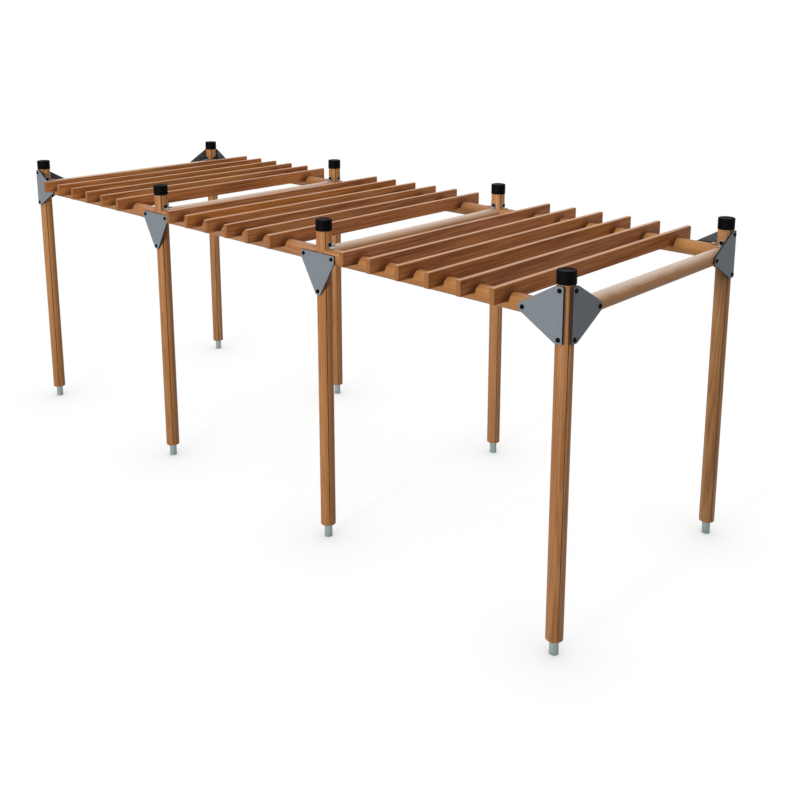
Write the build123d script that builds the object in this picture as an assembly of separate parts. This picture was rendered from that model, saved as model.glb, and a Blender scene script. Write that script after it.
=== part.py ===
from build123d import *
import os

os.makedirs("parts", exist_ok=True)

# An open pergola of round timber: two rows of posts on steel feet, a long beam from post to post
# along each row, a cross beam between each pair, and rafter boards notched down over the long beams.
# X runs along the rows, Y across them, Z up. The origin is on the ground, in the middle.
# The row on the low Y side is the front row, and posts are numbered from the high X end.

# Layout
bay_count = 3
bay_length = 2200.0  # between post centres along a row
row_spacing = 2150.0  # between the post centres of the two rows
overall_height = 2622.0  # ground to the top of the caps

# Round timber
post_radius = 60.0
beam_radius = 60.0
kerf_width = 6.0  # saw cut down each post, which keeps it from splitting elsewhere
kerf_depth = 20.0
kerf_direction = 60.0  # degrees from the front, towards the high X end

# Steel feet
foot_radius = 31.75
foot_wall = 4.0
foot_show = 112.0  # bare tube between the ground and the post
foot_insert = 260.0  # tube inside the post
foot_base_thickness = 6.0

# Caps
cap_wall = 3.7
cap_top_thickness = 5.0
cap_height = 86.0
cap_gap = 7.5  # between the caps and the plates under them

# Three-cornered plates
plate_thickness = 12.0
bolt_spread = 313.0  # between the two bolts of the long side
bolt_reach = 277.0  # from the long side's bolts to the third bolt
plate_margin = 28.0  # from a bolt to the plate's straight edges
plate_long_end = 58.0  # length of the short edge beside each bolt of the long side
plate_tip_width = 48.0
plate_corner_cut = 4.0
bolt_head_width = 22.0  # across the corners of the six-sided heads
bolt_head_height = 10.0

# Rafter boards
rafters_per_bay = 6
rafter_pitch = 275.0
rafter_thickness = 38.0
rafter_rise = 63.0  # board above the top of the long beams
rafter_seat = 48.0  # depth of the notches, down from the top of the long beams
rafter_overhang = 150.0  # past the outer face of the long beams
rafter_edge_chamfer = 3.0

# Angle brackets on top of the beam ends
bracket_width = 40.0
bracket_leg = 46.0
bracket_thickness = 5.0

fit_gap = 0.3  # between pieces whose round faces meet

# Sizes that follow from those above
cap_bottom = overall_height - cap_height
beam_axis_height = cap_bottom - cap_gap - plate_margin - bolt_spread / 2
post_top = overall_height - cap_top_thickness
post_length = post_top - foot_show
cap_radius = post_radius + fit_gap + cap_wall
foot_bore_radius = foot_radius + fit_gap
plate_offset = max(post_radius, beam_radius) + fit_gap
rafter_bottom = beam_axis_height + beam_radius - rafter_seat
rafter_height = rafter_seat + rafter_rise
rafter_length = row_spacing + 2 * (beam_radius + rafter_overhang)
row_sides = {"front": -1, "back": 1}


def post_x(number):
    """Centre of the post of that number, counted from 1 at the high X end."""
    return (bay_count / 2 - (number - 1)) * bay_length


def row_y(row):
    return row_sides[row] * row_spacing / 2


def upright(radius, bottom, height):
    return Pos(0, 0, bottom + height / 2) * Cylinder(radius, height)


def make_post():
    post = upright(post_radius, foot_show, post_length)
    post -= upright(foot_bore_radius, foot_show, foot_insert)
    kerf = Box(2 * kerf_depth, kerf_width, post_length)
    kerf = Pos(post_radius, 0, foot_show + post_length / 2) * kerf
    return post - Rot(0, 0, kerf_direction - 90) * kerf


def make_foot():
    foot = upright(foot_radius, 0, foot_show + foot_insert)
    hollow_height = foot_show + foot_insert - foot_base_thickness
    return foot - upright(foot_radius - foot_wall, foot_base_thickness, hollow_height)


def make_cap():
    cap = upright(cap_radius, cap_bottom, cap_height)
    return cap - upright(post_radius + fit_gap, cap_bottom, cap_height - cap_top_thickness)


def make_beam(span):
    """Round beam along X from post centre to post centre, saddle cut and mitred at both ends."""
    half = span / 2
    beam = Rot(0, 90, 0) * Cylinder(beam_radius, span)
    tip = half - fit_gap
    shoulder = tip - 2 * beam_radius
    width = 2 * beam_radius
    outline = make_face(
        Polyline(
            (-tip, 0),
            (-shoulder, -width),
            (shoulder, -width),
            (tip, 0),
            (shoulder, width),
            (-shoulder, width),
            close=True,
        )
    )
    beam &= Pos(0, 0, -beam_radius) * extrude(outline, 2 * beam_radius)
    for end in (-half, half):
        beam -= Pos(end, 0, 0) * Cylinder(post_radius + fit_gap, 4 * beam_radius)
    return beam


def make_plate():
    """Plate in the XZ plane, inner face at Y 0 and body towards low Y, long side upright at X 0."""
    end_height = bolt_spread / 2 + plate_margin
    reach = bolt_reach + plate_margin
    outline = make_face(
        Polyline(
            (-plate_margin, -end_height),
            (plate_long_end - plate_margin, -end_height),
            (reach, -plate_tip_width / 2),
            (reach, plate_tip_width / 2),
            (plate_long_end - plate_margin, end_height),
            (-plate_margin, end_height),
            close=True,
        )
    )
    outline = chamfer(outline.vertices(), plate_corner_cut)
    return Rot(90, 0, 0) * extrude(outline, plate_thickness)


def make_bolt_heads():
    """The heads of a plate's three bolts, on the outer face of a plate made by make_plate."""
    head = extrude(RegularPolygon(bolt_head_width / 2, 6), bolt_head_height)
    head = Pos(0, -plate_thickness, 0) * (Rot(90, 0, 0) * head)
    centres = [(0, bolt_spread / 2), (0, -bolt_spread / 2), (bolt_reach, 0)]
    return [Pos(x, 0, z) * head for x, z in centres]


def make_bracket():
    """Angle with its upright leg at X 0 and its flat leg towards high X, underside at Z 0."""
    profile = make_face(
        Polyline(
            (0, 0),
            (bracket_leg, 0),
            (bracket_leg, bracket_thickness),
            (bracket_thickness, bracket_thickness),
            (bracket_thickness, bracket_leg),
            (0, bracket_leg),
            close=True,
        )
    )
    return Pos(0, bracket_width / 2, 0) * (Rot(90, 0, 0) * extrude(profile, bracket_width))


def make_rafter():
    """Board along Y with a rounded notch over each long beam, standing on its rafter bottom."""
    board = Box(rafter_thickness, rafter_length, rafter_height)
    board = chamfer(board.edges().filter_by(Axis.Y).group_by(Axis.Z)[-1], rafter_edge_chamfer)
    board = Pos(0, 0, rafter_bottom + rafter_height / 2) * board
    notch = Rot(0, 90, 0) * Cylinder(beam_radius + fit_gap, 2 * rafter_thickness)
    for row in row_sides:
        board -= Pos(0, row_y(row), beam_axis_height) * notch
    return board


def write(shapes, name):
    export_step(Compound(children=shapes) if len(shapes) > 1 else shapes[0], f"parts/{name}.step")


def at_post(shape, row, number):
    return Pos(post_x(number), row_y(row), 0) * shape


def end_directions(row, number):
    """Directions, in degrees from X, in which beams leave this post."""
    along = [180] * (number <= bay_count) + [0] * (number > 1)
    return along + [-90 * row_sides[row]]


def on_corner(shape, row, number):
    """A plate or bolt head placed twice on a corner post: on the row's face and on the end face."""
    end = 1 if number == 1 else -1
    side = row_sides[row]
    outer = Pos(0, -plate_offset, 0) * mirror(shape, Plane.YZ)
    if end * side > 0:
        outer = mirror(outer, Plane.YZ)
    outer = Rot(0, 0, 0 if side < 0 else 180) * outer
    gable = Pos(0, -plate_offset, 0) * shape
    if end * side > 0:
        gable = mirror(gable, Plane.YZ)
    gable = Rot(0, 0, 90 * end) * gable
    return [Pos(0, 0, beam_axis_height) * placed for placed in (outer, gable)]


def on_middle(shape, row):
    """A plate or bolt head turned point down and placed on the row's face of a middle post."""
    turned = Pos(0, -plate_offset, 0) * (Rot(0, 90, 0) * shape)
    turned = Rot(0, 0, 0 if row_sides[row] < 0 else 180) * turned
    return [Pos(0, 0, beam_axis_height) * turned]


post = make_post()
foot = make_foot()
cap = make_cap()
plate = make_plate()
bolt_heads = make_bolt_heads()
bracket = make_bracket()
rafter = make_rafter()
long_beam = make_beam(bay_length)
cross_beam = Rot(0, 0, 90) * make_beam(row_spacing)

for row in row_sides:
    feet, caps, brackets, bolts = [], [], [], []
    for number in range(1, bay_count + 2):
        write([at_post(post, row, number)], f"post_{row}_{number}")
        feet.append(at_post(foot, row, number))
        caps.append(at_post(cap, row, number))
        for direction in end_directions(row, number):
            seat = Pos(post_radius + fit_gap, 0, beam_axis_height + beam_radius + fit_gap)
            brackets.append(at_post(Rot(0, 0, direction) * (seat * bracket), row, number))
        if number in (1, bay_count + 1):
            plates = on_corner(plate, row, number)
            heads = [placed for head in bolt_heads for placed in on_corner(head, row, number)]
            name = f"corner_plates_{row}_{number}"
        else:
            plates = on_middle(plate, row)
            heads = [placed for head in bolt_heads for placed in on_middle(head, row)]
            name = f"middle_plate_{row}_{number}"
        write([at_post(p, row, number) for p in plates], name)
        bolts += [at_post(head, row, number) for head in heads]
    write(feet, f"steel_feet_{row}")
    write(caps, f"post_caps_{row}")
    write(brackets, f"beam_brackets_{row}")
    write(bolts, f"plate_bolts_{row}")
    for bay in range(1, bay_count + 1):
        centre = (post_x(bay) + post_x(bay + 1)) / 2
        write([Pos(centre, row_y(row), beam_axis_height) * long_beam], f"long_beam_{row}_{bay}")

for number in range(1, bay_count + 2):
    write([Pos(post_x(number), 0, beam_axis_height) * cross_beam], f"cross_beam_{number}")

for bay in range(1, bay_count + 1):
    centre = (post_x(bay) + post_x(bay + 1)) / 2
    first = centre + rafter_pitch * (rafters_per_bay - 1) / 2
    boards = [Pos(first - rafter_pitch * n, 0, 0) * rafter for n in range(rafters_per_bay)]
    write(boards, f"rafters_bay_{bay}")
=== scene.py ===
import math

import bmesh
import bpy
from mathutils import Matrix, Vector


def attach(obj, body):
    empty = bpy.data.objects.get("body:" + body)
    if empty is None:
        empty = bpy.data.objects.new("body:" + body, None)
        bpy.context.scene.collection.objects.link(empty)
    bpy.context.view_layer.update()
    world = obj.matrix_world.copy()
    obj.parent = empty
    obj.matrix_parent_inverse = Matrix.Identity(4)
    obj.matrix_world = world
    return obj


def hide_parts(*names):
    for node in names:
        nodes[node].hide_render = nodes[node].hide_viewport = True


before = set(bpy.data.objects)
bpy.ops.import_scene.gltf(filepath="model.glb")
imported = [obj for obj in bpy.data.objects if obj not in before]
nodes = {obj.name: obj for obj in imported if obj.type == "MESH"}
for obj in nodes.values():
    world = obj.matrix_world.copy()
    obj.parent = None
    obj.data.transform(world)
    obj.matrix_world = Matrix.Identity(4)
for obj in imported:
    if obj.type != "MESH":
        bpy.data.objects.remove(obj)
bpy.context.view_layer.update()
print("frame loaded:", len(nodes), "nodes")

# The frame's own measures in metres, which the dressing pieces are placed by
layout = {
    "postX": [3.3, 1.1, -1.1, -3.3],
    "bay": 2.2,
    "rowGap": 2.15,
    "beamHeight": 2.344,
    "beamRadius": 0.06,
    "postRadius": 0.06,
    "rafterPitch": 0.275,
    "rafterHeight": 2.41,
    "fit": 0.0003,
}
rows = {"front": -1, "back": 1}


class Wire:  # a shader socket that can stand in sums
    def __init__(self, finish, node, socket):
        self.finish, self.node, self.socket = finish, node, socket

    def out(self, name):
        return Wire(self.finish, self.node, self.node.outputs[name])

    def maths(self, operation, *values):
        return self.finish.add("ShaderNodeMath", {"operation": operation}, dict(enumerate(values)))

    def __add__(self, other): return self.maths("ADD", self, other)
    def __radd__(self, other): return self.maths("ADD", other, self)
    def __sub__(self, other): return self.maths("SUBTRACT", self, other)
    def __rsub__(self, other): return self.maths("SUBTRACT", other, self)
    def __mul__(self, other): return self.maths("MULTIPLY", self, other)
    def __rmul__(self, other): return self.maths("MULTIPLY", other, self)
    def __truediv__(self, other): return self.maths("DIVIDE", self, other)
    def __rtruediv__(self, other): return self.maths("DIVIDE", other, self)
    def __pow__(self, other): return self.maths("POWER", self, other)
    def __rpow__(self, other): return self.maths("POWER", other, self)
    def __mod__(self, other): return self.maths("FLOORED_MODULO", self, other)
    def __rmod__(self, other): return self.maths("FLOORED_MODULO", other, self)
    def __gt__(self, other): return self.maths("GREATER_THAN", self, other)
    def __lt__(self, other): return self.maths("LESS_THAN", self, other)
    def __abs__(self): return self.maths("ABSOLUTE", self)
    def __floor__(self): return self.maths("FLOOR", self)
    def sign(self): return self.maths("SIGN", self)
    def atLeast(self, other): return self.maths("MAXIMUM", self, other)
    def atMost(self, other): return self.maths("MINIMUM", self, other)


class Finish:  # a material and the one way to add nodes to it
    def __init__(self, name, tree=None):
        if tree is None:
            self.material = bpy.data.materials.new(name)
            self.material.use_nodes = True
            tree = self.material.node_tree
        self.tree = tree
        tree.nodes.clear()

    def add(self, kind, settings=None, sockets=None, output=0):
        node = self.tree.nodes.new(kind)
        for key, value in (settings or {}).items():
            if key == "stops":
                while len(node.color_ramp.elements) < len(value):
                    node.color_ramp.elements.new(1)
                for element, (position, colour) in zip(node.color_ramp.elements, value):
                    element.position, element.color = position, (*colour, 1)
            else:
                setattr(node, key, value)
        for key, value in (sockets or {}).items():
            if isinstance(value, Wire):
                self.tree.links.new(value.socket, node.inputs[key])
            elif isinstance(value, tuple) and len(value) == 3 and node.inputs[key].type == "RGBA":
                node.inputs[key].default_value = (*value, 1)
            else:
                node.inputs[key].default_value = value
        return Wire(self, node, node.outputs[output]) if node.outputs else None

    def place(self):
        return self.add("ShaderNodeTexCoord", output="Object")

    def split(self, vector):
        x = self.add("ShaderNodeSeparateXYZ", {}, {0: vector})
        return x, x.out("Y"), x.out("Z")

    def point(self, x, y, z):
        return self.add("ShaderNodeCombineXYZ", {}, {0: x, 1: y, 2: z})

    def mix(self, factor, first, second):
        return self.add("ShaderNodeMix", {"data_type": "RGBA"}, {0: factor, 6: first, 7: second}, 2)

    def fade(self, value, low, high):  # 0 at low, 1 at high, clamped, smooth
        return self.add("ShaderNodeMapRange", {"interpolation_type": "SMOOTHSTEP"},
                        {0: value, 1: low, 2: high, 3: 0.0, 4: 1.0})

    def noise(self, where, detail=2.0, rough=0.5):
        return self.add("ShaderNodeTexNoise", {},
                        {"Vector": where, "Scale": 1.0, "Detail": detail, "Roughness": rough})

    def cloud(self, where, cells, detail=2.0, rough=0.5):  # noise with so many cells to the metre
        return self.noise(self.add("ShaderNodeVectorMath", {"operation": "SCALE"}, {0: where, "Scale": cells}),
                          detail, rough)

    def close(self, colour, roughness, height, depth, **fixed):
        bump = self.add("ShaderNodeBump", {}, {"Strength": 1.0, "Distance": depth, "Height": height})
        self.end(self.add("ShaderNodeBsdfPrincipled", {},
                          {"Base Color": colour, "Roughness": roughness, "Normal": bump, **fixed}))
        return self.material

    def end(self, shader, kind="ShaderNodeOutputMaterial"):
        self.add(kind, {}, {"Surface": shader})


# Timber: rings round a heart that wanders, fibres, streaks and pores along the piece
grain = {  # noise cells to the metre, across a piece and along it
    "wobble": (22.0, 1.1),
    "fibre": (650.0, 11.0),
    "streak": (95.0, 1.7),
    "patch": (9.0, 0.9),
    "pore": (900.0, 38.0),
    "wander": (0.55, 0.45),  # both along
}
timber = {
    "light": (0.43, 0.214, 0.086),
    "middle": (0.336, 0.149, 0.050),
    "dark": (0.202, 0.075, 0.023),
    "endLight": (0.46, 0.24, 0.11),  # sawn ends
    "endDark": (0.24, 0.1, 0.04),
    "sawnFrom": (0.75, 0.9),
    "ringsPerMetre": 230.0,
    "ringWobble": 2.6,
    "ringRise": (0.25, 0.82),  # late wood over the width of one ring
    "ringFall": (0.86, 1.0),
    "heart": 0.03,  # spread of the heart from piece to piece
    "heartDrop": 0.012,
    "heartWander": 0.05,
    "tone": 0.13,
    "late": 0.3,  # what late wood, fibres, streaks and patches add to the tone
    "fibre": 0.42,
    "streak": 0.92,
    "patch": 0.55,
    "toneStops": (0.1, 0.5, 0.95),  # tones of the light, middle and dark colour
    "pore": 0.45,
    "poreFrom": (0.62, 0.75),
    "hue": (0.497, 0.006),  # lowest, and spread from piece to piece
    "saturation": (0.96, 0.08),
    "value": (0.945, 0.1),
    "roughness": 0.42,
    "specular": 0.25,
    "topCoat": 0.0,  # sheen of the sides that look up
    "coatFrom": (0.2, 0.95),
    "coatRoughness": 0.3,
    "paintedTopLight": 0.0,  # painted highlight on those sides: how far they are paled, as if lit from above
    "depth": 0.00035,
}
postLook = dict(
    timber,
    plateEdgeShade=0.75,  # painted shade on the corner posts along the upright edges of the plates, where the gap to each plate lies in shade
    plateEdgeShadeTone=(0.045, 0.022, 0.011),
    plateEdgeShadeAt=(0.053, 0.028),  # off the post's middle, on either outer side
    plateEdgeShadeReach=(0.002, 0.015),
    plateEdgeShadeHalf=(0.19, 0.175),
)
longBeamLook = dict(
    timber,
    light=(0.45, 0.215, 0.082),
    middle=(0.358, 0.153, 0.051),
    dark=(0.22, 0.082, 0.025),
    topCoat=0.3,
)
crossBeamLook = dict(
    timber,
    light=(0.48, 0.248, 0.112),
    middle=(0.385, 0.178, 0.068),
    dark=(0.245, 0.097, 0.034),
    topCoat=0.8,
    paintedTopLight=0.61,
    paintedTopLightTone=(0.66, 0.52, 0.42),
    paintedTopLightFrom=(0.35, 1.05),
    paintedTopLightRagged=0.35,
)
rafterLook = dict(
    timber,
    light=(0.45, 0.178, 0.054),
    middle=(0.35, 0.122, 0.032),
    dark=(0.168, 0.049, 0.012),
    endLight=(0.33, 0.146, 0.058),
    endDark=(0.2, 0.077, 0.025),
    heart=0.05,
    heartDrop=0.06,
    streak=2.4,
    patch=1.3,
    specular=0.15,
    topCoat=0.3,
    topHighlightShare=0.62,  # painted highlight: a paler top edge, as if lit from above
    topHighlightFrom=(0.5, 0.8),
    paintedTopEdgeLit=(0.64, 0.375, 0.210),
    paintedTopEdgeLitDark=(0.36, 0.175, 0.078),
    beamShade=0.88,  # painted shade in the lee of a long beam, on its low Y side, where beam and rafter shade each other
    beamShadeTone=(0.085, 0.026, 0.008),
    beamShadeReach=0.085,
    beamShadeRagged=0.05,
    beamShadeShift=(0.045, 0.02),
)


def rafterPaintedLight(finish, look, shade, y, z, up, patch, late, fibre):
    # Painted shade on the rafter faces round the long beam, stronger on its low Y side
    shiftY, shiftZ = look["beamShadeShift"]
    offY, offZ = y - y.sign() * (layout["rowGap"] / 2) + shiftY, z - layout["beamHeight"] + shiftZ
    near = (offY * offY + offZ * offZ) ** 0.5 - layout["beamRadius"]
    beamShade = 1 - finish.fade(near + (patch - 0.5) * look["beamShadeRagged"], 0.0, look["beamShadeReach"])
    shade = finish.mix(beamShade * look["beamShade"], shade, look["beamShadeTone"])
    # Painted highlight: the top edges are paler, as light from above would make them
    edge = finish.mix(late * 0.3 + fibre * 0.45, look["paintedTopEdgeLit"], look["paintedTopEdgeLitDark"])
    return finish.mix(finish.fade(up, *look["topHighlightFrom"]) * look["topHighlightShare"], shade, edge)


# Painted shade: darkens the corner posts next to the upright edges of the plates, where the gap between post and
# plate lies in shade
def postPlateEdgeShade(finish, look, shade, x, y, z, a, b):
    far, close = look["plateEdgeShadeAt"]
    outX, outY = a * x.sign(), b * y.sign()
    gapX = ((outX - close) ** 2.0 + (outY - far) ** 2.0) ** 0.5
    gapY = ((outX - far) ** 2.0 + (outY - close) ** 2.0) ** 0.5
    level = finish.fade(abs(z - layout["beamHeight"]), *look["plateEdgeShadeHalf"]) * (abs(x) > layout["bay"])
    plateEdgeShade = level * (1 - finish.fade(gapX.atMost(gapY), *look["plateEdgeShadeReach"]))
    return finish.mix(plateEdgeShade * look["plateEdgeShade"], shade, look["plateEdgeShadeTone"])


def timberFinish(name, lie, look):
    finish = Finish(name)
    x, y, z = finish.split(finish.place())
    bay, gap, beam, pitch = layout["bay"], layout["rowGap"], layout["beamHeight"], layout["rafterPitch"]
    # a and b lie across the piece, and the last point tells the pieces apart
    if lie == "upright":
        a, b, along = x % bay - bay / 2, y % gap - gap / 2, z
        piece = finish.point(math.floor(x / bay), math.floor(y / gap), 0.5)
    elif lie == "lengthwise":
        a, b, along = y % gap - gap / 2, z - beam, x
        piece = finish.point(math.floor(x / bay + 0.5), math.floor(y / gap), 3.5)
    elif lie == "crosswise":
        a, b, along = x % bay - bay / 2, z - beam, y
        piece = finish.point(math.floor(x / bay), 7.5, 1.5)
    else:
        a, b, along = x % pitch - pitch / 2, z - layout["rafterHeight"], y
        piece = finish.point(math.floor(x / pitch), 11.5, 2.5)
    luck = finish.add("ShaderNodeTexWhiteNoise", {"noise_dimensions": "3D"}, {"Vector": piece}, "Color")
    luckA = finish.add("ShaderNodeSeparateColor", {}, {0: luck})
    luckB, luckC = luckA.out("Green"), luckA.out("Blue")
    run = along + luckB * 37.0

    def stretched(kind, detail, rough=0.5):
        across, lengthways = grain[kind]
        return finish.noise(finish.point(a * across, b * across, run * lengthways), detail, rough)

    wanderA = finish.noise(finish.point(run * grain["wander"][0], luckC * 19.0, 0.0), 1.0)
    wanderB = finish.noise(finish.point(run * grain["wander"][1], luckC * 23.0, 5.0), 1.0)
    heartA = a + (luckA - 0.5) * look["heart"] + (wanderA - 0.5) * look["heartWander"]
    heartB = b + (luckC - 0.5) * look["heart"] + (wanderB - 0.5) * look["heartWander"] + look["heartDrop"]
    radius = (heartA * heartA + heartB * heartB) ** 0.5
    ring = (radius * look["ringsPerMetre"] + stretched("wobble", 2.0) * look["ringWobble"]) % 1.0
    late = finish.fade(ring, *look["ringRise"]) * (1.0 - finish.fade(ring, *look["ringFall"]))
    fibre = stretched("fibre", 3.0, 0.65)
    streak = stretched("streak", 3.0, 0.6)
    patch = stretched("patch", 2.0)
    pore = finish.fade(stretched("pore", 2.0), *look["poreFrom"])

    tone = late * look["late"] + (streak - 0.5) * look["streak"] + fibre * look["fibre"]
    tone = tone + (patch - 0.5) * look["patch"] + look["tone"]
    stops = zip(look["toneStops"], (look["light"], look["middle"], look["dark"]))
    shade = finish.add("ShaderNodeValToRGB", {"stops": list(stops)}, {0: tone})
    shade = finish.mix(pore * look["pore"], shade, look["dark"])
    shade = finish.add("ShaderNodeHueSaturation", {}, {
        "Hue": look["hue"][0] + luckB * look["hue"][1],
        "Saturation": look["saturation"][0] + luckC * look["saturation"][1],
        "Value": look["value"][0] + luckA * look["value"][1],
        "Color": shade,
    })
    normalX, normalY, normalZ = finish.split(finish.add("ShaderNodeNewGeometry", output="Normal"))
    lengthways = {"upright": normalZ, "lengthwise": normalX}.get(lie, normalY)
    cut = finish.fade(abs(lengthways), *look["sawnFrom"])
    shade = finish.mix(cut, shade, finish.mix(late * 0.5 + fibre * 0.35, look["endLight"], look["endDark"]))
    if lie == "rafter":
        # painted shade round the beams and a painted highlight on the top edges
        shade = rafterPaintedLight(finish, look, shade, y, z, normalZ, patch, late, fibre)
    if lie == "upright":
        # painted shade beside the plate edges on the corner posts
        shade = postPlateEdgeShade(finish, look, shade, x, y, z, a, b)
    # Painted highlight: sides that look up are paler, as light falling from above would make them
    if look["paintedTopLight"]:
        pale = finish.fade(normalZ + (streak - 0.5) * look["paintedTopLightRagged"], *look["paintedTopLightFrom"])
        shade = finish.mix(pale * look["paintedTopLight"], shade, look["paintedTopLightTone"])
    gloss = {"Specular IOR Level": look["specular"], "Coat Roughness": look["coatRoughness"]}
    if look["topCoat"]:
        gloss["Coat Weight"] = finish.fade(normalZ, *look["coatFrom"]) * look["topCoat"]
    rough = look["roughness"] + fibre * 0.16 + late * 0.05 + cut * 0.2
    return finish.close(shade, rough, fibre * 0.5 + late * 0.35 - pore * 0.9, look["depth"], **gloss)


postWood = timberFinish("postWood", "upright", postLook)
longBeamWood = timberFinish("longBeamWood", "lengthwise", longBeamLook)
crossBeamWood = timberFinish("crossBeamWood", "crosswise", crossBeamLook)
rafterWood = timberFinish("rafterWood", "rafter", rafterLook)
print("timber finishes made")

# Laminate plates: grey faces, painted shade on the end faces and a darker painted shade on the inner faces, and
# black edges
laminate = {
    "face": (0.152, 0.177, 0.202),
    "speck": (0.218, 0.243, 0.268),
    # The inner tone is painted shade on the inner faces
    "inner": (0.055, 0.062, 0.069),
    "innerShadeSpeck": (0.078, 0.086, 0.093),
    "endShadeShare": 0.3,  # painted shade on the end faces, as a share of the inner tone
    "edge": (0.004, 0.004, 0.0045),
    "edgeWorn": (0.012, 0.011, 0.011),
    "edgeShare": 0.6,
    "faceFrom": 0.045,  # off the middle of the posts
    "faceTurn": 0.9,  # how squarely a face looks out or in
    "fineCells": 900.0,  # noise cells to the metre
    "mottleCells": 110.0,
    "broadCells": 14.0,
    "edgeCells": 260.0,
    "fineFrom": (0.45, 0.8),
    "mottleFrom": (0.35, 0.7),
    "specks": (0.4, 0.35, 0.25),  # shares of the fine, mottled and broad noise
    "roughness": 0.36,
    "specular": 0.2,
    "depth": 0.00008,
}


def laminateFinish():
    finish = Finish("greyLaminate")
    place = finish.place()
    x, y = finish.split(place)[:2]
    normalX, normalY = finish.split(finish.add("ShaderNodeNewGeometry", output="True Normal"))[:2]
    turn, start = laminate["faceTurn"], laminate["faceFrom"]
    rowWay = normalY * y.sign() * (abs(y) - layout["rowGap"] / 2 > start)
    endWay = normalX * x.sign() * (abs(x) - layout["postX"][0] > start)
    inner = (rowWay < -turn) + (endWay < -turn)
    face = (rowWay > turn) + (endWay > turn) + inner
    fine = finish.cloud(place, laminate["fineCells"], 2.0, 0.6)
    mottle = finish.cloud(place, laminate["mottleCells"], 2.0, 0.6)
    broad = finish.cloud(place, laminate["broadCells"], 3.0)
    fineShare, mottleShare, broadShare = laminate["specks"]
    blotch = finish.fade(fine, *laminate["fineFrom"]) * fineShare
    blotch = blotch + finish.fade(mottle, *laminate["mottleFrom"]) * mottleShare + broad * broadShare
    outerTone = finish.mix(blotch, laminate["face"], laminate["speck"])
    innerShadeTone = finish.mix(blotch, laminate["inner"], laminate["innerShadeSpeck"])
    # Painted shade: inner faces take the inner tone, end faces a share of it
    paintedPlateShade = inner + (endWay > turn) * laminate["endShadeShare"]
    layers = finish.cloud(place, laminate["edgeCells"], 1.0)
    edge = finish.mix(layers * laminate["edgeShare"], laminate["edge"], laminate["edgeWorn"])
    colour = finish.mix(face, edge, finish.mix(paintedPlateShade, outerTone, innerShadeTone))
    rough = laminate["roughness"] + fine * 0.12 + broad * 0.08 + (1 - face) * 0.15
    return finish.close(colour, rough, fine, laminate["depth"], **{"Specular IOR Level": laminate["specular"]})


plateFinish = laminateFinish()

# Black plastic of the post caps and bolt covers
plastic = {
    "body": (0.0013, 0.0014, 0.0017),
    "worn": (0.0036, 0.0036, 0.004),
    "wornFrom": (0.4, 0.75),
    "wornShare": 0.7,
    "fineCells": 1400.0,
    "broadCells": 24.0,
    "capRoughness": 0.48,
    "coverRoughness": 0.36,
    "specular": 0.03,
    "depth": 0.0001,
}


def plasticFinish(name, roughness):
    finish = Finish(name)
    place = finish.place()
    fine = finish.cloud(place, plastic["fineCells"])
    broad = finish.cloud(place, plastic["broadCells"], 3.0)
    worn = finish.fade(broad, *plastic["wornFrom"]) * plastic["wornShare"]
    colour = finish.mix(worn, plastic["body"], plastic["worn"])
    return finish.close(colour, roughness + broad * 0.14 + fine * 0.06, fine, plastic["depth"],
                        **{"Specular IOR Level": plastic["specular"]})


capPlastic = plasticFinish("capPlastic", plastic["capRoughness"])
coverPlastic = plasticFinish("coverPlastic", plastic["coverRoughness"])

# Zinc coated steel: a greenish tube, and brackets whose zinc is darkened as painted shade, with a painted highlight
# where they look up
zinc = {"spangleCells": 130.0, "broadCells": 18.0, "depth": 0.00012}
tubeLook = {
    "dark": (0.25, 0.325, 0.315),
    "light": (0.36, 0.43, 0.42),
    "metal": 0.55,
    "roughness": 0.42,
    "topHighlightShare": 0.0,
}
bracketLook = {
    # The brackets' dark and light tones are painted shade, and the top tone is a painted highlight on the sides
    # that look up
    "dark": (0.11, 0.11, 0.108),
    "light": (0.2, 0.2, 0.195),
    "metal": 0.3,
    "roughness": 0.34,
    "topHighlightShare": 0.9,
    "topHighlightFrom": (0.4, 0.9),
    "top": (0.72, 0.71, 0.69),
}


def zincFinish(name, look):
    finish = Finish(name)
    place = finish.place()
    cells = {"Vector": place, "Scale": zinc["spangleCells"]}
    spangle = finish.add("ShaderNodeTexVoronoi", {"feature": "F1"}, cells, "Color")
    flake = finish.add("ShaderNodeSeparateColor", {}, {0: spangle})
    broad = finish.cloud(place, zinc["broadCells"], 4.0)
    colour = finish.mix(flake * 0.45 + broad * 0.4, look["dark"], look["light"])
    # Painted highlight on the sides that look up
    if look["topHighlightShare"]:
        upward = finish.split(finish.add("ShaderNodeNewGeometry", output="Normal"))[2]
        colour = finish.mix(finish.fade(upward, *look["topHighlightFrom"]) * look["topHighlightShare"], colour, look["top"])
    rough = look["roughness"] + flake.out("Green") * 0.16 + broad * 0.1
    return finish.close(colour, rough, flake * 0.3 + broad, zinc["depth"], Metallic=look["metal"])


tubeZinc = zincFinish("tubeZinc", tubeLook)
brightZinc = zincFinish("brightZinc", bracketLook)
print("laminate, plastic and zinc finishes made")

# Each frame node by the start of its name: its finish, and the width of its rounded edges
dressing = {
    "post_caps": (capPlastic, 0.0),
    "post_": (postWood, 0.0012),
    "long_beam": (longBeamWood, 0.0),
    "cross_beam": (crossBeamWood, 0.0),
    "rafters": (rafterWood, 0.0016),
    "corner_plates": (plateFinish, 0.0009),
    "middle_plate": (plateFinish, 0.0009),
    "steel_feet": (tubeZinc, 0.0008),
    "beam_brackets": (brightZinc, 0.0),
}
rounding = {"weld": 0.00002, "segments": 2, "sharpFrom": 38}


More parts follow.
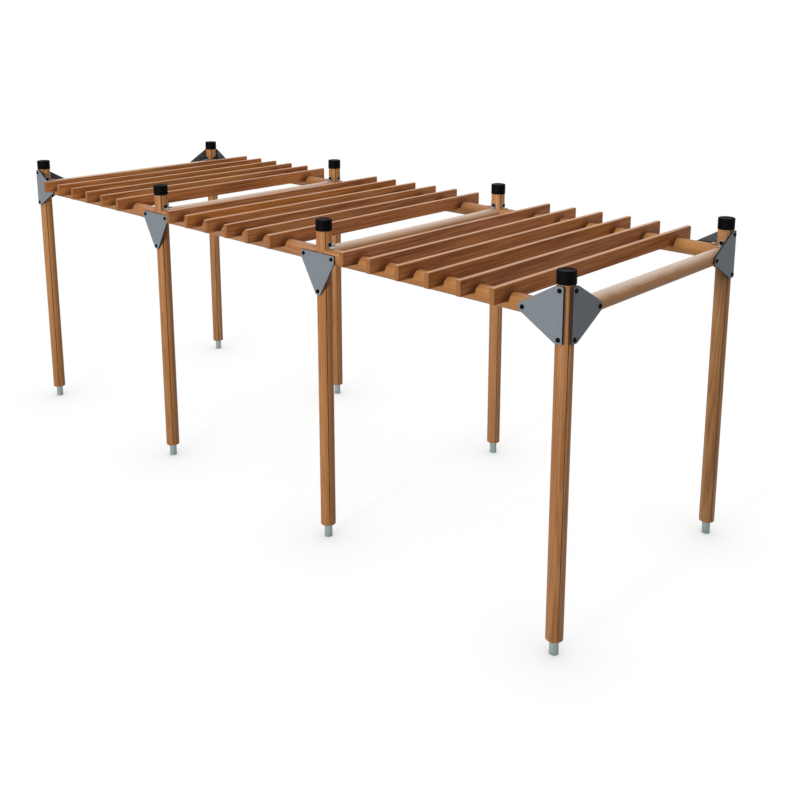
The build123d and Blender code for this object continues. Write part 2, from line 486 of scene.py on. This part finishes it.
def soften(piece, width):  # joins the split borders of a frame mesh, then rounds its sharp edges
    weld = piece.modifiers.new("weld", "WELD")
    weld.merge_threshold = rounding["weld"]
    bevel = piece.modifiers.new("bevel", "BEVEL")
    bevel.width, bevel.segments = width, rounding["segments"]
    bevel.limit_method, bevel.angle_limit = "ANGLE", math.radians(rounding["sharpFrom"])
    bevel.harden_normals = True


for name, piece in nodes.items():
    for start, (material, width) in dressing.items():
        if name.startswith(start):
            piece.data.materials.clear()
            piece.data.materials.append(material)
            if width:
                soften(piece, width)
            break
print("frame dressed")


def objectFrom(name, builder):
    mesh = bpy.data.meshes.new(name)
    builder.to_mesh(mesh)
    builder.free()
    made = bpy.data.objects.new(name, mesh)
    bpy.context.scene.collection.objects.link(made)
    return made


def pieceFrom(name, builder, material, smoothAngle):
    bmesh.ops.recalc_face_normals(builder, faces=builder.faces)
    piece = objectFrom(name, builder)
    piece.data.materials.append(material)
    piece.data.shade_smooth()
    piece.data.set_sharp_from_angle(angle=math.radians(smoothAngle))
    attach(piece, "root")
    return piece


def lathe(builder, profile, place, steps):  # turns (radius, height) pairs round local Z
    turns = [2 * math.pi * i / steps for i in range(steps)]
    rings = []
    for radius, height in profile:
        spots = [(0, 0, height)]
        if radius:
            spots = [(radius * math.cos(t), radius * math.sin(t), height) for t in turns]
        rings.append([builder.verts.new(place @ Vector(spot)) for spot in spots])
    for lower, upper in zip(rings, rings[1:]):
        for i in range(steps):
            j = (i + 1) % steps
            if len(lower) == 1:
                builder.faces.new((lower[0], upper[j], upper[i]))
            elif len(upper) == 1:
                builder.faces.new((lower[i], lower[j], upper[0]))
            else:
                builder.faces.new((lower[i], lower[j], upper[j], upper[i]))


def quarterTurn(radius, top, bend, steps):  # profile points round a top edge, from the side inwards
    turns = [math.pi / 2 * i / steps for i in range(steps + 1)]
    return [(radius - bend + bend * math.cos(t), top - bend + bend * math.sin(t)) for t in turns]


def facing(point, direction):  # a place whose local Z looks along direction
    return Matrix.Translation(point) @ Vector(direction).to_track_quat("Z", "Y").to_matrix().to_4x4()


# Bolts through the three-cornered plates, under round black covers
plateBolts = {
    "spread": 0.313,
    "reach": 0.277,
    "plateFace": 0.0723,  # off the middle of a post
    "flange": 0.016,
    "cover": 0.0135,
    "height": 0.0095,
    "steps": 32,
    "smooth": 35,  # degrees, and sharper edges show
}
coverForm = {  # shared by the bolt covers of the plates and of the brackets
    "disc": 0.0018,
    "discEdge": 0.0006,
    "collar": (0.0007, 0.0022, 0.003),  # width past the wall, height outside and at the wall
    "bend": 0.0028,
    "bendSteps": 6,
    "crown": (0.0003, 0.0005),  # rise halfway in and in the middle
}


def coverProfile(size):
    flange, cover, height = size["flange"], size["cover"], size["height"]
    thick, edge, (collar, collarLow, collarHigh) = coverForm["disc"], coverForm["discEdge"], coverForm["collar"]
    halfway, middle = coverForm["crown"]
    disc = [(0, 0.0), (flange, 0.0), (flange, thick - edge), (flange - edge, thick)]
    wall = [(cover + collar, collarLow), (cover, collarHigh)]
    bend = quarterTurn(cover, height, coverForm["bend"], coverForm["bendSteps"])
    return disc + wall + bend + [(cover / 2, height + halfway), (0, height + middle)]


def plateBoltPlaces():
    spread, reach, face = plateBolts["spread"] / 2, plateBolts["reach"], plateBolts["plateFace"]
    z = layout["beamHeight"]
    places = []
    for side in rows.values():
        y = side * layout["rowGap"] / 2
        for x in layout["postX"]:
            if abs(x) == layout["postX"][0]:  # corner post, with a plate on its row and one on its end
                end = 1 if x > 0 else -1
                for along, up in ((0, spread), (0, -spread), (reach, 0)):
                    places.append(((x - end * along, y + side * face, z + up), (0, side, 0)))
                    places.append(((x + end * face, y - side * along, z + up), (end, 0, 0)))
            else:
                for across, up in ((spread, 0), (-spread, 0), (0, -reach)):
                    places.append(((x + across, y + side * face, z + up), (0, side, 0)))
    return places


builder = bmesh.new()
for point, direction in plateBoltPlaces():
    lathe(builder, coverProfile(plateBolts), facing(point, direction), plateBolts["steps"])
covers = pieceFrom("plate_bolt_covers", builder, coverPlastic, plateBolts["smooth"])
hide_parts("plate_bolts_front", "plate_bolts_back")
print("plate bolts made")

# Moulded caps on the post heads, with a lip below and a shallow dish on top
caps = {
    "bore": 0.0603,
    "body": 0.0636,
    "lip": 0.064,
    "bottom": 2.536,
    "lipHeight": 0.009,
    "top": 2.622,
    "thickness": 0.005,
    "rounding": 0.0055,
    "roundingSteps": 8,
    "boreEdge": (0.0005, 0.0006),
    "lipEdge": 0.0008,
    "lipStep": (0.0001, 0.0006),  # width and drop where the lip meets the body
    "dish": (0.05, 0.0475, 0.0009),  # outer and inner radius of its slope, depth
    "dimple": (0.006, 0.0045, 0.0015),
    "steps": 72,
    "smooth": 42,
}


def capProfile():
    bottom, top, body, bore, lip = caps["bottom"], caps["top"], caps["body"], caps["bore"], caps["lip"]
    ceiling, lipTop = top - caps["thickness"], bottom + caps["lipHeight"]
    (boreWide, boreUp), edge, (stepWide, stepDown) = caps["boreEdge"], caps["lipEdge"], caps["lipStep"]
    dishOuter, dishInner, dishDepth = caps["dish"]
    dimpleOuter, dimpleInner, dimpleDepth = caps["dimple"]
    inside = [(0, ceiling), (bore, ceiling), (bore, bottom + boreUp), (bore + boreWide, bottom)]
    outside = [(lip - edge, bottom), (lip, bottom + edge), (lip, lipTop - stepDown), (body + stepWide, lipTop)]
    dish = [(dishOuter, top), (dishInner, top - dishDepth), (dimpleOuter, top - dishDepth),
            (dimpleInner, top - dimpleDepth), (0, top - dimpleDepth)]
    return inside + outside + quarterTurn(body, top, caps["rounding"], caps["roundingSteps"]) + dish


for row, side in rows.items():
    builder = bmesh.new()
    for x in layout["postX"]:
        lathe(builder, capProfile(), Matrix.Translation((x, side * layout["rowGap"] / 2, 0)), caps["steps"])
    piece = pieceFrom("moulded_caps_" + row, builder, capPlastic, caps["smooth"])
    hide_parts("post_caps_" + row)
print("caps made")

# Bent angle brackets on the beam ends, with their bolts and screws
brackets = {
    "leg": 0.046,
    "thickness": 0.005,
    "width": 0.036,
    "bend": 0.004,  # inner radius
    "bendSteps": 8,
    "corner": 0.007,
    "cornerSteps": 6,
    "edge": 0.0006,
    "flange": 0.0145,
    "cover": 0.0122,
    "height": 0.009,
    "boltUp": 0.029,
    "screwOut": 0.0305,
    "screwWasher": [(0, 0), (0.0085, 0), (0.0085, 0.001)],
    "screwDome": [(0.0078, 0.0016), (0.0062, 0.0032), (0.0035, 0.0042), (0, 0.0044)],
    "coverSteps": 28,
    "screwSteps": 24,
    "smooth": 40,
    "boltSmooth": 35,
}


def bracketPlaces(row):
    side = rows[row]
    y = side * layout["rowGap"] / 2
    first, last = layout["postX"][0], layout["postX"][-1]
    found = []
    for x in layout["postX"]:
        ways = [(0, -side)] + [(-1, 0)] * (x > last) + [(1, 0)] * (x < first)
        found += [((x, y), way) for way in ways]
    return found


def stripPath():  # the bracket's middle line in X and Z: point, outward normal, way to the nearer end
    half, bend, leg = brackets["thickness"] / 2, brackets["bend"], brackets["leg"]
    turn = bend + brackets["thickness"]
    radius = bend + half
    straight = leg - turn
    cornerSteps, bendSteps = brackets["cornerSteps"], brackets["bendSteps"]
    ends = [0, brackets["edge"]] + [brackets["corner"] * i / cornerSteps for i in range(1, cornerSteps + 1)]
    path = [((half, leg - run), (-1, 0), run) for run in ends + [straight]]
    for i in range(1, bendSteps):
        t = math.pi / 2 * i / bendSteps
        path.append(((turn - radius * math.cos(t), turn - radius * math.sin(t)), (-math.cos(t), -math.sin(t)), leg))
    return path + [((leg - run, half), (0, -1), run) for run in [straight] + ends[::-1]]


def bentStrip(builder, place):  # local X away from the post, Y across, Z up
    corner, edge = brackets["corner"], brackets["edge"]
    rings = []
    for (x, z), (normalX, normalZ), run in stripPath():
        wide, thick = brackets["width"] / 2, brackets["thickness"] / 2
        if run < corner:
            wide -= corner - math.sqrt(corner ** 2 - (corner - run) ** 2)
        if run == 0:
            wide, thick = wide - edge, thick - edge
        half = [(-wide, thick - edge), (-wide + edge, thick), (wide - edge, thick), (wide, thick - edge)]
        outline = half + [(-across, -out) for across, out in half]
        rings.append([builder.verts.new(place @ Vector((x + normalX * out, across, z + normalZ * out)))
                      for across, out in outline])
    for first, second in zip(rings, rings[1:]):
        for i in range(len(first)):
            j = (i + 1) % len(first)
            builder.faces.new((first[i], first[j], second[j], second[i]))
    builder.faces.new(rings[0][::-1])
    builder.faces.new(rings[-1])


seat = layout["beamHeight"] + layout["beamRadius"] + layout["fit"]
postFace = layout["postRadius"] + layout["fit"]
boltCovers, screws = bmesh.new(), bmesh.new()
screwHead = brackets["screwWasher"] + brackets["screwDome"]
for row in rows:
    angles = bmesh.new()
    for (x, y), (wayX, wayY) in bracketPlaces(row):
        place = Matrix.Translation((x, y, seat)) @ Matrix.Rotation(math.atan2(wayY, wayX), 4, "Z")
        place = place @ Matrix.Translation((postFace, 0, 0))
        bentStrip(angles, place)
        boltSpot = facing((brackets["thickness"], 0, brackets["boltUp"]), (1, 0, 0))
        lathe(boltCovers, coverProfile(brackets), place @ boltSpot, brackets["coverSteps"])
        screwSpot = facing((brackets["screwOut"], 0, brackets["thickness"]), (0, 0, 1))
        lathe(screws, screwHead, place @ screwSpot, brackets["screwSteps"])
    piece = pieceFrom("bent_brackets_" + row, angles, brightZinc, brackets["smooth"])
    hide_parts("beam_brackets_" + row)
pieceFrom("bracket_bolt_covers", boltCovers, coverPlastic, brackets["boltSmooth"])
pieceFrom("bracket_screws", screws, brightZinc, brackets["boltSmooth"])
print("brackets made")

# Floor, light and camera
stage = {
    "floorSize": 120,
    "floorDull": (0.26, 0.26, 0.26),  # floor tone for the light that it throws back
    "floorSeen": (0.9, 0.9, 0.9),
    "glow": 0.86,  # share of the seen floor that glows by itself
    "glowStrength": 1.0,
    "glowWhole": (4.6, 9.0),  # metres from the middle over which that share rises to 1
    "footShadeTone": (0.35, 0.335, 0.31),  # painted shadow in the glow close round the feet
    "footShadeReach": 0.65,
    "footShadeSamples": 12,
    "skyLow": 0.15,
    "skyHigh": 1.75,
    "skyBack": 0.9,  # fill for the sides that the key lamp doesn't reach
    "skyBackWay": (-0.62, 0.75, 0.2),
    "lampPlace": (2.8, -13.0, 3.1),
    "lampAim": (0.0, 0.0, 1.9),
    "lampSize": 1.8,
    "lampLevel": 7.6,
    "lampColour": (1, 0.985, 0.96),
}


def seenPlain(finish):  # 1 for what the camera sees, straight or in a mirror
    path = finish.add("ShaderNodeLightPath", output="Is Camera Ray")
    return path.atLeast(path.out("Is Glossy Ray")).atLeast(path.out("Is Transmission Ray"))


builder = bmesh.new()
bmesh.ops.create_grid(builder, x_segments=1, y_segments=1, size=stage["floorSize"])
floor = objectFrom("studio_floor", builder)
pale = Finish("studioFloor")
plain = seenPlain(pale)
matt = pale.add("ShaderNodeBsdfDiffuse", {}, {"Color": pale.mix(plain, stage["floorDull"], stage["floorSeen"])})
x, y = pale.split(pale.place())[:2]
away = pale.fade((x * x + y * y) ** 0.5, *stage["glowWhole"])
# Painted shadow: the glow is darkened close round the feet
openness = pale.add("ShaderNodeAmbientOcclusion", {"samples": stage["footShadeSamples"]},
                    {"Distance": stage["footShadeReach"]}, "AO")
glowTone = pale.mix(1 - openness, (1, 1, 1), stage["footShadeTone"])
glow = pale.add("ShaderNodeEmission", {}, {"Color": glowTone, "Strength": stage["glowStrength"]})
share = stage["glow"] + away * (1 - stage["glow"])
pale.end(pale.add("ShaderNodeMixShader", {}, {0: plain * share, 1: matt, 2: glow}))
floor.data.materials.append(pale.material)

# A dome that is brighter overhead, and plain white wherever it is seen or mirrored
world = bpy.data.worlds.new("studio")
bpy.context.scene.world = world
world.use_nodes = True
dome = Finish("studio", world.node_tree)
plain = seenPlain(dome)
way = dome.add("ShaderNodeTexCoord", output="Generated")
high = dome.split(way)[2].atLeast(0.0)
behind = dome.add("ShaderNodeVectorMath", {"operation": "DOT_PRODUCT"}, {0: way, 1: stage["skyBackWay"]}, "Value")
behind = behind.atLeast(0.0)
level = stage["skyLow"] + high * high * (stage["skyHigh"] - stage["skyLow"]) + behind * behind * stage["skyBack"]
sky = dome.add("ShaderNodeBackground", {}, {"Color": (1, 1, 1), "Strength": level * (1 - plain) + plain})
dome.end(sky, "ShaderNodeOutputWorld")

lamp = bpy.data.lights.new("key", "AREA")
lamp.shape, lamp.size, lamp.energy = "DISK", stage["lampSize"], 1.0
lamp.use_nodes = True
beam = Finish("key", lamp.node_tree)
even = beam.add("ShaderNodeLightFalloff", {}, {"Strength": stage["lampLevel"]}, "Constant")
shine = beam.add("ShaderNodeEmission", {}, {"Color": stage["lampColour"], "Strength": even})
beam.end(shine, "ShaderNodeOutputLight")
key = bpy.data.objects.new("key", lamp)
key.location = stage["lampPlace"]
key.rotation_euler = (Vector(stage["lampPlace"]) - Vector(stage["lampAim"])).to_track_quat("Z", "Y").to_euler()
bpy.context.scene.collection.objects.link(key)

shot = {
    "place": (6.5832, -6.0228, 4.1543),
    "yaw": 43.438,
    "pitch": 11.59,
    "lens": 44.59,
    "sensor": 36,
    "shift": -0.23,
    "farthest": 500,
}
lens = bpy.data.cameras.new("camera")
lens.lens, lens.sensor_width, lens.shift_y = shot["lens"], shot["sensor"], shot["shift"]
lens.clip_end = shot["farthest"]
camera = bpy.data.objects.new("camera", lens)
camera.location = shot["place"]
camera.rotation_euler = (math.radians(90 - shot["pitch"]), 0, math.radians(shot["yaw"]))
bpy.context.scene.collection.objects.link(camera)
bpy.context.scene.camera = camera
bpy.context.scene.view_settings.view_transform = "Standard"
print("stage set")

bpy.context.view_layer.update()
